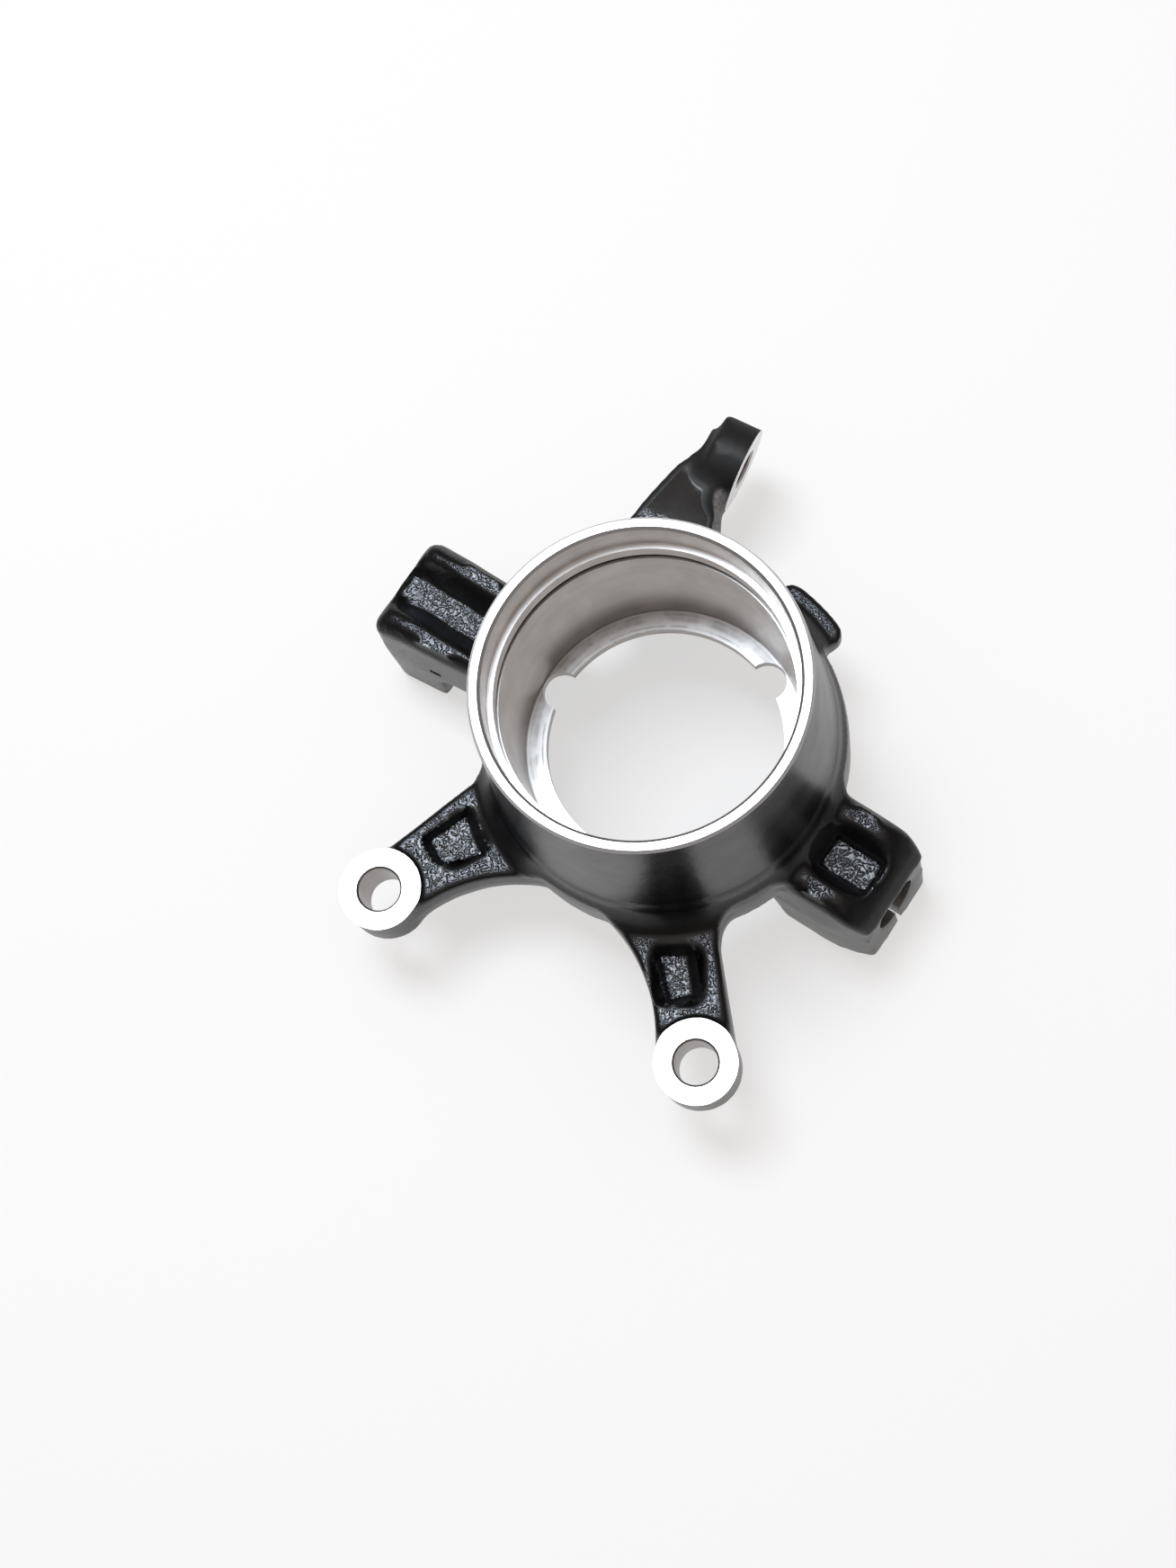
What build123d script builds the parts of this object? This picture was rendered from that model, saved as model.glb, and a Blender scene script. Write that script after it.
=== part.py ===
from build123d import *
from math import cos, hypot, radians, sin
import os

os.makedirs("parts", exist_ok=True)

# ---- driving dimensions, millimetres and degrees ---------------------------
# The origin is on the wheel bearing's axis, on the shoulder that the bearing
# stops against. +Z leaves through the mouth of the housing and +X runs along
# the line of the two caliper bolts.

# bearing housing
seat_radius = 36.0
seat_length = 38.4
groove_radius = 37.3
groove_width = 2.0
land_radius = 36.25
land_length = 3.9
mouth_radius = 37.7
mouth_height = 53.5
rim_radius = 40.9
rim_chamfer = 0.7
wall_radius = 44.2
wall_foot_height = 12.0
base_radius = 47.0
base_bottom = -12.0
relief_radius = 39.5
shoulder_radius = 30.6
shoulder_thickness = 3.0
notch_radius = 5.1
notch_angle = 59.7
notch_count = 3

# web plate that ties everything to the foot of the housing
web_top = -0.2
web_parting = -6.0
web_draft = 5.0
web_fillet = 7.0
outline_corner = 2.0

# concave flare between the housing wall and the top of the web
flare_reach = 50.3
flare_rise = 12.0
flare_bulge = 1.7
flare_bend = 5.0
flare_inset = 2.0

# caliper arms and their bosses
caliper_spacing = 93.0
caliper_line_y = -67.65
caliper_boss_radius = 10.7
caliper_hole_radius = 5.5
caliper_face_z = 0.6
caliper_bottom_z = -13.5
pocket_depth = 3.6
pocket_slope = 32.0
pocket_corner = 3.2

# line through the two ball joint bosses, turned about Z from the caliper line
steer_angle = -5.2
boss_bottom = -37.0
boss_parting = -18.0
boss_start = 30.0
neck_bottom = -19.0
crown_bevel = 3.0
crown_drop = 3.2
side_bulge = 1.2
foot_bevel = 1.0
cut_margin = 3.0

# upper ball joint boss, measured along the steering line on the -X side
upper_end = 85.7
upper_neck = 68.5
upper_ridge = 3.0
upper_half_width = 14.1
upper_start_half = 9.9
upper_end_half = 16.1
upper_corner = 6.5
mark_size = (3.4, 2.4, 1.8)
mark_place = (-67.0, -15.9, -12.0)

# lower ball joint clamp, on the +X side
lower_end = 70.6
lower_neck = 44.0
lower_ridge = 1.5
lower_half_width = 14.3
lower_corner = 1.0

# ball joint studs, their slits and their pinch bolts
stud_radius = 7.2
stud_height = -20.0
stud_tilt = 4.5
upper_stud_depth = 16.0
lower_stud_depth = 24.0
slit_width = 1.8
pinch_clear_radius = 3.3
pinch_tapped_radius = 2.5
pinch_inset = 9.0
pinch_drop = 11.5
pinch_skin = 3.0

# steering arm and its tie rod eye
steering_top = -2.2
steering_bottom = -17.5
eye_x = -20.3
eye_y = 78.4
eye_z = -10.0
eye_radius = 11.4
eye_thickness = 10.2
eye_hole_radius = 5.1
eye_face_radius = 12.2
nut_seat_radius = 6.5
nut_seat_reach = 9.0
eye_turn = 3.3
eye_tilt = 7.8

# small lug beside the steering arm
lug_radius = 54.3
lug_thickness = 6.0
lug_start = 58.8
lug_end = 83.0
lug_corner = 4.0

# ---- derived values and plan outlines ------------------------------------------
groove_top = seat_length + groove_width
ledge_height = groove_top + land_length
caliper_points = [(side * caliper_spacing / 2, caliper_line_y) for side in (-1, 1)]
steer_plane = Plane.XY.rotated((0, 0, steer_angle))

# plan outlines: arcs are given by their start, a point on the way and their end
left_arm_inner_arc = [(-6.0, -45.0), (-28.6, -57.6), (-37.0, -72.5)]
left_arm_outer_edge = [(-56.6, -64.4), (-50.9, -57.0), (-37.0, -25.0)]
right_arm_inner_arc = [(36.0, -71.0), (22.4, -53.7), (2.0, -45.2)]
right_arm_outer_edge = [(33.0, -29.0), (37.4, -39.2), (54.6, -61.4)]
left_pocket = [(-43.5, -51.5), (-37.7, -37.2), (-25.8, -45), (-32.8, -54.8)]
right_pocket = [(21.9, -47.3), (34, -40.8), (41.4, -54.2), (29.4, -60.7)]
upper_root = [(0, 13.8), (-72, 13.8), (-72, -13.9), (0, -6.5)]
lower_root = [(0, -13.2), (56, -13.2), (56, 13.2), (0, 13.2)]
steering_outline = [
    (-8, 30), (-15.2, 53), (-18.2, 61.5), (-21.7, 68.5), (-23.0, 78.4), (-32.0, 76.8),
    (-35.8, 69.7), (-38.6, 58), (-41.6, 40), (-30, 10),
]


# ---- bearing housing: one turned section about Z ------------------------------
with BuildPart() as housing:
    with BuildSketch(Plane.XZ):
        with BuildLine():
            Polyline(
                (shoulder_radius, -shoulder_thickness),
                (shoulder_radius, 0),
                (seat_radius, 0),
                (seat_radius, seat_length),
                (groove_radius, seat_length),
                (groove_radius, groove_top),
                (land_radius, groove_top),
                (land_radius, ledge_height),
                (mouth_radius, ledge_height),
                (mouth_radius, mouth_height - rim_chamfer),
                (mouth_radius + rim_chamfer, mouth_height),
                (rim_radius - rim_chamfer, mouth_height),
                (rim_radius, mouth_height - rim_chamfer),
                (wall_radius, wall_foot_height),
                (base_radius, 0),
                (base_radius, base_bottom),
                (relief_radius, base_bottom),
                (relief_radius, -shoulder_thickness),
                close=True,
            )
        make_face()
    revolve(axis=Axis.Z)


# ---- web plate: the plan of the caliper arms and the roots of the two bosses ---
def outline_face(points, corner=0.0, plane=Plane.XY):
    with BuildSketch(plane) as face:
        with BuildLine():
            Polyline(*points, close=True)
        make_face()
        if corner:
            fillet(face.vertices(), corner)
    return face.sketch


with BuildSketch() as web_plan:
    Circle(base_radius)
    with BuildLine():
        ThreePointArc(*left_arm_inner_arc)
        Polyline(left_arm_inner_arc[-1], *left_arm_outer_edge, (0, 0), left_arm_inner_arc[0])
    make_face()
    with BuildLine():
        ThreePointArc(*right_arm_inner_arc)
        Polyline(right_arm_inner_arc[-1], (0, 0), *right_arm_outer_edge, right_arm_inner_arc[0])
    make_face()
    add(outline_face(upper_root, plane=steer_plane))
    add(outline_face(lower_root, plane=steer_plane))
    fillet([v for v in web_plan.vertices() if hypot(v.X, v.Y) > base_radius + 1], outline_corner)
    junctions = [v for v in web_plan.vertices() if abs(hypot(v.X, v.Y) - base_radius) < 0.01]
    fillet(junctions, web_fillet)

with BuildPart() as web:
    for level in (web_top, base_bottom):
        with BuildSketch(Plane.XY.offset(web_parting)):
            add(web_plan.sketch)
        extrude(amount=level - web_parting, taper=web_draft)
    with BuildSketch(Plane.XY.offset(caliper_bottom_z)):
        with Locations(*caliper_points):
            Circle(caliper_boss_radius)
    extrude(amount=caliper_face_z - caliper_bottom_z)


# ---- ball joint bosses, made along X and turned onto the steering line later ----
def boss_section(distance, ridge, right, left):
    # right and left are the half widths of the crown on the +Y and -Y side
    section = [
        (right - crown_bevel, ridge),
        (right, ridge - crown_drop),
        (right + side_bulge, boss_parting),
        (right + side_bulge, boss_bottom + foot_bevel),
        (right + side_bulge - foot_bevel, boss_bottom),
        (foot_bevel - side_bulge - left, boss_bottom),
        (-left - side_bulge, boss_bottom + foot_bevel),
        (-left - side_bulge, boss_parting),
        (-left, ridge - crown_drop),
        (crown_bevel - left, ridge),
    ]
    return outline_face(section, plane=Plane.YZ.offset(distance)).face()


def keep_profile(points):
    # trims a boss to its outline seen from the side
    profile = outline_face(points, plane=Plane.XZ)
    extrude(profile, amount=2 * upper_end_half, both=True, mode=Mode.INTERSECT)


def keep_plan(points, corner):
    # trims a boss to its outline seen from above, with rounded corners
    plan = outline_face(points, corner, Plane.XY.offset(boss_bottom))
    extrude(plan, amount=2 * abs(boss_bottom), mode=Mode.INTERSECT)


with BuildPart() as upper_boss:
    loft([
        boss_section(-boss_start, upper_ridge, upper_half_width, upper_start_half),
        boss_section(-upper_end - cut_margin, upper_ridge, upper_half_width, upper_end_half),
    ])
    keep_profile([
        (-boss_start, upper_ridge + cut_margin),
        (-upper_end + 3.4, upper_ridge + cut_margin),
        (-upper_end + 3.4, upper_ridge),
        (-upper_end + 1.2, upper_ridge - 1.4),
        (-upper_end + 0.3, upper_ridge - 3.4),
        (-upper_end, upper_ridge - 8),
        (-upper_end, boss_parting),
        (-upper_end + 0.5, boss_bottom),
        (-upper_neck, boss_bottom),
        (-upper_neck + 1.5, neck_bottom - 4),
        (-upper_neck + 5, neck_bottom),
        (-boss_start, neck_bottom),
    ])
    upper_edge = [(-boss_start, 15.4), (-upper_end, 15.0), (-upper_end, -17.6), (-boss_start, -12.0)]
    keep_plan(upper_edge, upper_corner)
    # small cast mark in the -Y side
    with Locations(mark_place):
        Box(*mark_size, mode=Mode.SUBTRACT)

with BuildPart() as lower_boss:
    loft([
        boss_section(boss_start, lower_ridge, lower_half_width, lower_half_width),
        boss_section(lower_end + cut_margin, lower_ridge, lower_half_width, lower_half_width),
    ])
    keep_profile([
        (boss_start, lower_ridge + cut_margin),
        (lower_end - 12, lower_ridge + cut_margin),
        (lower_end - 12, lower_ridge),
        (lower_end - 7.5, lower_ridge - 1.4),
        (lower_end - 3, lower_ridge - 4.5),
        (lower_end - 0.5, lower_ridge - 8),
        (lower_end - 1.6, lower_ridge - 13),
        (lower_end, boss_bottom),
        (lower_neck, boss_bottom),
        (lower_neck - 4, neck_bottom),
        (boss_start, neck_bottom),
    ])
    lower_edge = [(boss_start, 17.2), (52, 16.0), (61, 15.1), (66.5, 13.7), (lower_end + 1, 11.6)]
    keep_plan(lower_edge + [(x, -y) for x, y in reversed(lower_edge)], lower_corner)


# ---- steering arm and its tie rod eye --------------------------------------------
tilt, turn = radians(eye_tilt), radians(eye_turn)
eye_plane = Plane(
    origin=(eye_x, eye_y, eye_z),
    x_dir=(-sin(turn), cos(turn), 0),
    z_dir=(cos(tilt) * cos(turn), cos(tilt) * sin(turn), -sin(tilt)),
)
arm_plan = outline_face(steering_outline, outline_corner)
arm_middle = arm_plan.moved(Location((0, 0, eye_z)))
with BuildPart() as steering_arm:
    for level in (steering_top, steering_bottom):
        extrude(arm_middle, amount=level - eye_z, taper=web_draft)
    with BuildSketch(eye_plane):
        Circle(eye_radius)
    extrude(amount=-eye_thickness)

# ---- small lug beside the steering arm ---------------------------------------------
with BuildPart() as side_lug:
    with BuildSketch(Plane.XY.offset(web_top - lug_thickness)) as lug_face:
        with BuildLine():
            lug_arc = CenterArc((0, 0), lug_radius, lug_start, lug_end - lug_start)
            Polyline(lug_arc @ 1, (0, 0), lug_arc @ 0)
        make_face()
        outer_corners = [v for v in lug_face.vertices() if hypot(v.X, v.Y) > base_radius]
        fillet(outer_corners, lug_corner)
    extrude(amount=lug_thickness)

# ---- concave flare above whatever stands out of the housing's foot -------------------
with BuildPart() as flare:
    with BuildSketch(Plane.XZ):
        with BuildLine():
            Polyline(
                (flare_reach, web_top),
                (seat_radius + flare_inset, web_top),
                (seat_radius + flare_inset, flare_rise),
                (wall_radius, flare_rise),
            )
            ThreePointArc(
                (wall_radius, flare_rise),
                (wall_radius + flare_bulge, flare_bend),
                (flare_reach, web_top),
            )
        make_face()
    revolve(axis=Axis.Z)
    with BuildSketch(Plane.XY.offset(web_top)):
        add(web_plan.sketch)
        add(arm_plan)
        add(lug_face.sketch)
    extrude(amount=flare_rise - web_top, taper=web_draft, mode=Mode.INTERSECT)

# ---- cutters placed on the steering line -------------------------------------------
def channel_face(height, near, far, half_width, corner):
    # one level of the open channel along the crown of a boss
    with BuildSketch(Plane.XY.offset(height)) as level_face:
        with Locations(((near + far) / 2, 0)):
            RectangleRounded(abs(far - near), 2 * half_width, corner)
    return level_face.sketch.face()


def stud_cutter(end, depth):
    # stud bore from the outer end of a boss, the slit below it and the blind
    # pinch bolt hole that crosses the slit, clear before it and tapped beyond it
    outward = 1 if end > 0 else -1
    lean = radians(stud_tilt)
    bore_plane = Plane(
        origin=(end, 0, stud_height),
        z_dir=(outward * cos(lean), 0, sin(lean)),
    )
    with BuildPart() as cutter:
        with BuildSketch(bore_plane.offset(2 * stud_radius)):
            Circle(stud_radius)
        extrude(amount=-depth - 2 * stud_radius)
        with Locations((end - outward * depth / 2, 0, (stud_height + boss_bottom) / 2)):
            Box(depth + 4 * cut_margin, slit_width, stud_height - boss_bottom)
        for radius, reach in (
            (pinch_clear_radius, 0),
            (pinch_tapped_radius, lower_half_width - pinch_skin),
        ):
            with BuildSketch(Plane.XZ.offset(-upper_end_half - cut_margin)):
                with Locations((end - outward * pinch_inset, stud_height - pinch_drop)):
                    Circle(radius)
            extrude(amount=upper_end_half + cut_margin + reach)
    return cutter.part


# ---- the whole casting ----------------------------------------------------------------
with BuildPart() as knuckle:
    add(web.part)
    add(upper_boss.part, rotation=(0, 0, steer_angle))
    add(lower_boss.part, rotation=(0, 0, steer_angle))
    add(steering_arm.part)
    add(side_lug.part)
    add(flare.part)
    with Locations((0, 0, boss_bottom)):
        Cylinder(
            wall_radius - flare_inset,
            mouth_height - boss_bottom,
            align=(Align.CENTER, Align.CENTER, Align.MIN),
            mode=Mode.SUBTRACT,
        )
    add(housing.part)

    # channels along the crowns of the two bosses: each is a loft from a wide
    # level above the crown down to a narrow floor, and the last one eases the
    # lower channel into the housing wall
    for rim, floor in (
        (
            channel_face(upper_ridge + 6, -48, -upper_end - 1.8, 12.4, 3),
            channel_face(upper_ridge - 7.5, -50, -upper_end + 3.7, 3.4, 1.5),
        ),
        (
            channel_face(lower_ridge + 8, 45, lower_end - 4.4, 13.6, 6),
            channel_face(lower_ridge - 8, 50, lower_end - 7.6, 3.0, 2),
        ),
        (
            channel_face(flare_rise + 3, 43.4, 60, 7.0, 6),
            channel_face(lower_ridge - 5, 48.5, 58, 5.0, 3),
        ),
    ):
        loft([level.rotate(Axis.Z, steer_angle) for level in (rim, floor)], mode=Mode.SUBTRACT)

    # shallow pockets in the caliper arms
    for outline in (left_pocket, right_pocket):
        with BuildSketch(Plane.XY.offset(web_top)):
            add(outline_face(outline, pocket_corner))
        extrude(amount=-pocket_depth, taper=pocket_slope, mode=Mode.SUBTRACT)

    # knock-out notches in the bearing shoulder
    with BuildSketch(Plane.XY.offset(-shoulder_thickness)):
        with PolarLocations(shoulder_radius, notch_count, start_angle=notch_angle):
            Circle(notch_radius)
    extrude(amount=shoulder_thickness, mode=Mode.SUBTRACT)

    # caliper bolt holes
    with Locations(*[(x, y, caliper_face_z) for x, y in caliper_points]):
        Hole(caliper_hole_radius)

    # tie rod hole, the machined face before it and the nut seat behind it
    for start, radius, reach in (
        (0, eye_face_radius, cut_margin),
        (0, eye_hole_radius, -eye_thickness),
        (-eye_thickness, nut_seat_radius, -nut_seat_reach),
    ):
        with BuildSketch(eye_plane.offset(start)):
            Circle(radius)
        extrude(amount=reach, mode=Mode.SUBTRACT)

    # ball joint stud bores with their slits and pinch bolt holes
    for end, depth in ((-upper_end, upper_stud_depth), (lower_end, lower_stud_depth)):
        add(stud_cutter(end, depth), rotation=(0, 0, steer_angle), mode=Mode.SUBTRACT)

knuckle.part.label = "knuckle"
export_step(knuckle.part, "parts/knuckle.step")
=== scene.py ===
import math

import bmesh
import bpy
from mathutils import Matrix, Vector, noise


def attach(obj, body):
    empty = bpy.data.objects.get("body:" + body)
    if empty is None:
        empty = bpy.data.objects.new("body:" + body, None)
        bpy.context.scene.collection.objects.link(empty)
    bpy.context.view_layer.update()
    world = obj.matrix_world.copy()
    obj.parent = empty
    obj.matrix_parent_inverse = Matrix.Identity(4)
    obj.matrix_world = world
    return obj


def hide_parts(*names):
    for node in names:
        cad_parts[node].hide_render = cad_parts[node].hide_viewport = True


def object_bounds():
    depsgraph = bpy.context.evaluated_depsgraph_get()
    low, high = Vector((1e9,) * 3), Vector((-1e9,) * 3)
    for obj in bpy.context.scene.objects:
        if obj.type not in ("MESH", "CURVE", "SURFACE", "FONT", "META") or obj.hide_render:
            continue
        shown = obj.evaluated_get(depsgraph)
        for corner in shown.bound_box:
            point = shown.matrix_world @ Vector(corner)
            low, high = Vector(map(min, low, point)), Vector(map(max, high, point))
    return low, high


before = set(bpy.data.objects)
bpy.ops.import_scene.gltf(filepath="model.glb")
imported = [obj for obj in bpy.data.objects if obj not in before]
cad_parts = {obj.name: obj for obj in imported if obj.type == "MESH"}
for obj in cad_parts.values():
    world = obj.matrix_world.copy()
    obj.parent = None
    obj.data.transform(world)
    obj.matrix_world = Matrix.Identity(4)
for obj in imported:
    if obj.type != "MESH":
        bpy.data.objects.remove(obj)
cadLow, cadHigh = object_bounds()
scene = bpy.context.scene
mm = 0.001


# mesh tools, all lengths given to them are in mm
def meshObject(name, points, faces):
    mesh = bpy.data.meshes.new(name)
    mesh.from_pydata([Vector(p) * mm for p in points], [], faces)
    mesh.validate()
    obj = bpy.data.objects.new(name, mesh)
    scene.collection.objects.link(obj)
    return obj


def turned(name, profile, steps=256):
    # a closed (radius, height) outline turned about Z; points on the axis become one
    points, rings = [], []
    for radius, height in profile:
        if radius == 0:
            rings.append([len(points)] * steps)
            points.append((0, 0, height))
            continue
        rings.append(list(range(len(points), len(points) + steps)))
        for k in range(steps):
            angle = math.tau * k / steps
            points.append((radius * math.cos(angle), radius * math.sin(angle), height))
    faces = []
    for a, b in zip(rings, rings[1:] + rings[:1]):
        for k in range(steps):
            j = (k + 1) % steps
            corners = list(dict.fromkeys((a[k], a[j], b[j], b[k])))
            if len(corners) > 2:
                faces.append(corners)
    return meshObject(name, points, faces)


def alongAxis(start, direction):
    turn = Vector(direction).to_track_quat("Z", "Y").to_matrix().to_4x4()
    return Matrix.Translation(Vector(start) * mm) @ turn


def rod(name, start, direction, profile, steps=96):
    # a turned piece set up from start along direction; profile is (radius, distance)
    obj = turned(name, profile, steps)
    obj.data.transform(alongAxis(start, direction))
    return obj


def plainRod(name, start, direction, length, radius, steps=96):
    return rod(name, start, direction, [(0, 0), (radius, 0), (radius, length), (0, length)], steps)


def block(name, low, high, turnAngle):
    points = [(x, y, z) for x in (low[0], high[0]) for y in (low[1], high[1]) for z in (low[2], high[2])]
    faces = [(0, 1, 3, 2), (4, 6, 7, 5), (0, 4, 5, 1), (2, 3, 7, 6), (0, 2, 6, 4), (1, 5, 7, 3)]
    obj = meshObject(name, points, faces)
    obj.data.transform(Matrix.Rotation(math.radians(turnAngle), 4, "Z"))
    return obj


def outwards(obj):
    # turns all face normals outwards
    work = bmesh.new()
    work.from_mesh(obj.data)
    bmesh.ops.recalc_face_normals(work, faces=work.faces)
    work.to_mesh(obj.data)
    work.free()


def settled(obj):
    # writes the modifiers into the mesh
    depsgraph = bpy.context.evaluated_depsgraph_get()
    finished = bpy.data.meshes.new_from_object(obj.evaluated_get(depsgraph))
    obj.modifiers.clear()
    obj.data = finished
    return obj


def gathered(target, parts):
    # puts the meshes of parts into target as loose shells
    work = bmesh.new()
    work.from_mesh(target.data)
    for part in parts:
        work.from_mesh(part.data)
        bpy.data.objects.remove(part)
    work.to_mesh(target.data)
    work.free()
    return target


def cutAway(target, cutter):
    # the cut faces take the cutter's material
    cut = target.modifiers.new("cut", "BOOLEAN")
    cut.operation = "DIFFERENCE"
    cut.solver = "MANIFOLD"
    cut.material_mode = "TRANSFER"
    cut.object = cutter
    settled(target)
    bpy.data.objects.remove(cutter)


def paintAll(obj, material):
    obj.data.materials.clear()
    obj.data.materials.append(material)
    outwards(obj)
    return obj


def ease(value, low, high):
    # smooth step from 0 at low to 1 at high
    t = min(max((value - low) / (high - low), 0), 1)
    return t * t * (3 - 2 * t)


# node tools for the materials
def newMaterial(name):
    material = bpy.data.materials.new(name)
    material.use_nodes = True
    tree = material.node_tree
    return material, tree, tree.nodes["Principled BSDF"]


def mathNode(tree, operation, first, second=None, third=None, clamp=False):
    node = tree.nodes.new("ShaderNodeMath")
    node.operation = operation
    node.use_clamp = clamp
    for socket, value in zip(node.inputs, (first, second, third)):
        if value is None:
            continue
        if isinstance(value, (int, float)):
            socket.default_value = value
        else:
            tree.links.new(value, socket)
    return node.outputs[0]


def times(tree, first, second):
    return mathNode(tree, "MULTIPLY", first, second)


def timesPlus(tree, first, factor, extra):
    return mathNode(tree, "MULTIPLY_ADD", first, factor, extra)


def ramp(tree, value, limits, unit=1):
    # smooth step from 0 at the first limit to 1 at the second; unit=mm for limits in mm
    node = tree.nodes.new("ShaderNodeMapRange")
    node.interpolation_type = "SMOOTHSTEP"
    tree.links.new(value, node.inputs["Value"])
    node.inputs["From Min"].default_value = limits[0] * unit
    node.inputs["From Max"].default_value = limits[1] * unit
    return node.outputs["Result"]


def mixColour(tree, factor, first, second):
    node = tree.nodes.new("ShaderNodeMix")
    node.data_type = "RGBA"
    tree.links.new(factor, node.inputs["Factor"])
    for socket, value in ((node.inputs["A"], first), (node.inputs["B"], second)):
        if isinstance(value, tuple):
            socket.default_value = (*value, 1)
        else:
            tree.links.new(value, socket)
    return node.outputs["Result"]


def noiseNode(tree, vector, pitch, detail=2.0, rough=0.5, distort=0.0):
    # pitch is the size of one grain in mm
    node = tree.nodes.new("ShaderNodeTexNoise")
    tree.links.new(vector, node.inputs["Vector"])
    node.inputs["Scale"].default_value = 1 / (pitch * mm)
    node.inputs["Detail"].default_value = detail
    node.inputs["Roughness"].default_value = rough
    node.inputs["Distortion"].default_value = distort
    return node.outputs["Fac"]


def bumpNode(tree, height, strength, distance, normal=None):
    node = tree.nodes.new("ShaderNodeBump")
    tree.links.new(height, node.inputs["Height"])
    if isinstance(strength, (int, float)):
        node.inputs["Strength"].default_value = strength
    else:
        tree.links.new(strength, node.inputs["Strength"])
    node.inputs["Distance"].default_value = distance * mm
    if normal is not None:
        tree.links.new(normal, node.inputs["Normal"])
    return node.outputs["Normal"]


def splitNode(tree, vector):
    node = tree.nodes.new("ShaderNodeSeparateXYZ")
    tree.links.new(vector, node.inputs[0])
    return node.outputs


# glossy black paint on the cast skin, wrinkled where it lies level
blackPaint = {
    "colour": (0.0025, 0.0025, 0.003),
    "haze": (0.008, 0.0077, 0.0075), "hazeRange": (0.45, 0.75), "hazePitch": 14.0,
    "paintedGlint": (0.12, 0.135, 0.165), "paintedGlintRange": (0.55, 0.80),    # painted highlight: lighter bluish tops of the wrinkles, where the window's glint falls
    "specular": 0.42, "roughness": 0.17, "roughnessSpread": 0.16,
    "satin": 0.15,                    # added roughness on faces that don't lie level
    "wrinklePitch": 0.36, "wrinkleReach": 2.4, "wrinkleHeight": 0.10,    # mm
    "wrinkleLevel": (0.962, 0.993),   # upward part of the normal where wrinkles set in
    "wrinkleEnd": (56, 50),           # y in mm, the steering arm has none
    "skinPitch": 1.6, "skinHeight": 0.10, "skinStrength": 0.6,
    "lumpiness": 2.2, "lumpyFrom": (-58, -76),    # x in mm, rougher skin on the upper block
    # painted reflection: a lighter grey for upright faces, standing in for the floor's reflection at grazing
    # angles
    "paintedSheen": (0.11, 0.107, 0.101), "uprightFace": (0.60, 0.25),
    "sheenFrom": (-64, -78), "sheenUpFrom": (-36, -20),    # x and z in mm, outer end of the upper block
    "mottlePitch": 1.1, "mottleRange": (0.30, 0.70),
    "speckPitch": 0.8, "speckRange": (0.58, 0.72), "speckShare": 0.05,
}
steeringArmPaint = {
    "start": (50, 58), "eyeStart": (67, 72),    # y in mm
    "smoothness": 0.7,                # share of the skin's bumps that is missing
    "gloss": 0.06,                    # less roughness on its level top
    "satin": 0.42, "slope": (0.9995, 0.9965),    # added roughness where it slopes
    # painted reflection: a lighter grey on the arm's flank facing +x
    "flankSheen": (0.26, 0.25, 0.245), "flankEnd": (80, 73), "flankFacing": (0.35, 0.75),
    "flankMottle": 0.6,
}


def wrinkleNode(tree, place):
    # rounded wrinkles with sharp valleys that wander about like worms
    reach, pitch = blackPaint["wrinkleReach"], blackPaint["wrinklePitch"]
    drift = noiseNode(tree, place, reach, detail=2.0, rough=0.5, distort=0.35)
    turns = times(tree, drift, reach / pitch * math.pi)
    return mathNode(tree, "ABSOLUTE", mathNode(tree, "SINE", turns))


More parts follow.
